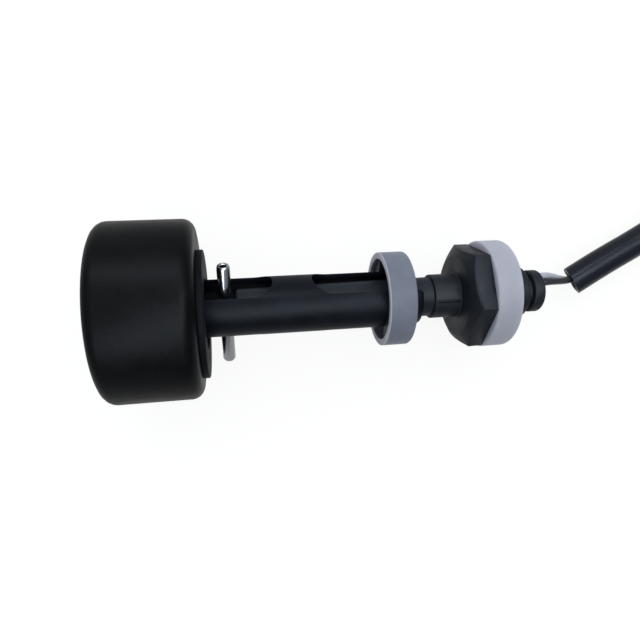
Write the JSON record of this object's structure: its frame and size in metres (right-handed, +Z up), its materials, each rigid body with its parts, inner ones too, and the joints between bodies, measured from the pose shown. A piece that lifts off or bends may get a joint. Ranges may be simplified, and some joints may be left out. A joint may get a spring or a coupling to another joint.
{
  "type": "liquid level sensor",
  "caption": "Liquid level sensor: a rubber float slides on a slotted guide sleeve under a hexagonal head with a soft seal, a grooved mounting spigot and a short sheathed lead with a plug.",
  "frame": {"origin": "on the sensor's axis, at the seal's face that meets the tank wall", "axes": "+X towards the lead, with the axis sloping down as the sensor lies on its float and seal; +Y level across it; +Z up from the table"},
  "size_m": [0.1784, 0.1053, 0.0413],
  "materials": {
    "float_rubber": "satin",
    "washer_plastic": "satin",
    "pin_steel": "bright",
    "black_plastic": "satin",
    "magnet_ferrite": "matte",
    "ring_plastic": "satin",
    "seal_silicone": "satin",
    "reed_glass": "gloss",
    "lead_metal": "bright",
    "potting_resin": "matte",
    "wire_light": "satin",
    "wire_dark": "satin",
    "tube_pvc": "satin",
    "plug_nylon": "satin",
    "contact_brass": "bright"
  },
  "bodies": {
    "head": {"guide_sleeve": "black_plastic", "stop_ring": "black_plastic", "lock_ring": "ring_plastic", "probe_tube": "black_plastic", "head_body": "black_plastic", "mounting_seal": "seal_silicone", "reed_glass": "reed_glass", "reed_lead_near": "lead_metal", "reed_lead_return": "lead_metal", "potting_plug": "potting_resin", "lead_wire_light": "wire_light", "lead_wire_dark": "wire_dark", "cable_sleeve": "tube_pvc", "connector_housing": "plug_nylon", "contact_left": "contact_brass", "contact_right": "contact_brass"},
    "float_group": {"float": "float_rubber", "float_washer": "washer_plastic"},
    "magnet_carrier": {"roll_pin": "pin_steel", "magnet_plug": "black_plastic", "plug_magnet": "magnet_ferrite"}
  },
  "joints": [
    {"name": "float_slide", "type": "slide", "parent": "head", "child": "float_group", "axis": [0.995, 0, -0.0996], "range_m": [-0.0059, 0]},
    {"name": "plug_slide", "type": "slide", "parent": "float_group", "child": "magnet_carrier", "axis": [0.995, 0, -0.0996], "range_m": [-0.0024, 0]}
  ]
}
